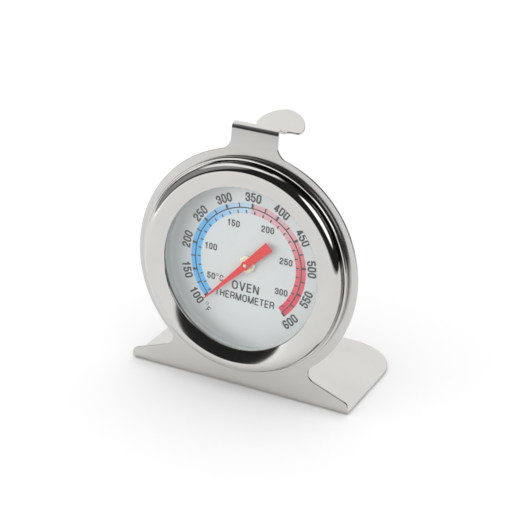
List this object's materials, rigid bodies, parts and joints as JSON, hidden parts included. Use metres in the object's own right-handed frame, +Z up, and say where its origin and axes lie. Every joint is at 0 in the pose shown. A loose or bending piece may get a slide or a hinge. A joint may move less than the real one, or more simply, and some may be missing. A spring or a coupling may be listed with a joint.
{
  "type": "oven thermometer",
  "caption": "Stainless-steel dial oven thermometer on a bent sheet stand with a foot and a rack hook, with a red pointer and a bimetal coil movement",
  "frame": {"origin": "the middle of the footprint, on the underside of the foot", "axes": "+Z up; the dial faces -Y; +X is to the right as the dial is read"},
  "size_m": [0.0612, 0.0416, 0.0685],
  "materials": {
    "brushed_stainless": "fine-brushed stainless sheet",
    "polished_stainless": "polished stainless",
    "plain_steel": "plain turned steel",
    "window_glass": "clear flat glass",
    "fibre_gasket": "matt heat-proof gasket",
    "dial_paint": "satin off-white with a printed scale",
    "pointer_paint": "satin red",
    "brass_parts": "turned brass",
    "bimetal_strip": "rolled bimetal strip"
  },
  "bodies": {
    "body": {"stand": "brushed_stainless", "bezel_ring": "polished_stainless", "rear_case": "polished_stainless", "lens": "window_glass", "lens_gasket": "fibre_gasket", "spacer_ring": "plain_steel", "dial_plate": "dial_paint", "front_bush": "brass_parts", "front_washer": "plain_steel", "rear_washer": "plain_steel", "rear_bush": "brass_parts", "bimetal_coil": "bimetal_strip", "coil_post": "plain_steel", "case_rivet_1": "plain_steel", "case_rivet_2": "plain_steel", "case_rivet_3": "plain_steel"},
    "pointer_set": {"spindle": "brass_parts", "pointer": "pointer_paint", "pointer_hub": "brass_parts", "coil_collet": "brass_parts"}
  },
  "joints": [
    {"name": "pointer_turn", "type": "hinge", "parent": "body", "child": "pointer_set", "pos_m": [0, -0.01486, 0.03282], "axis": [0, 0.9976, -0.0698], "range_deg": [-14, 275], "stiffness_Nm_per_rad": 0.001, "deforming": ["bimetal_coil"]}
  ]
}
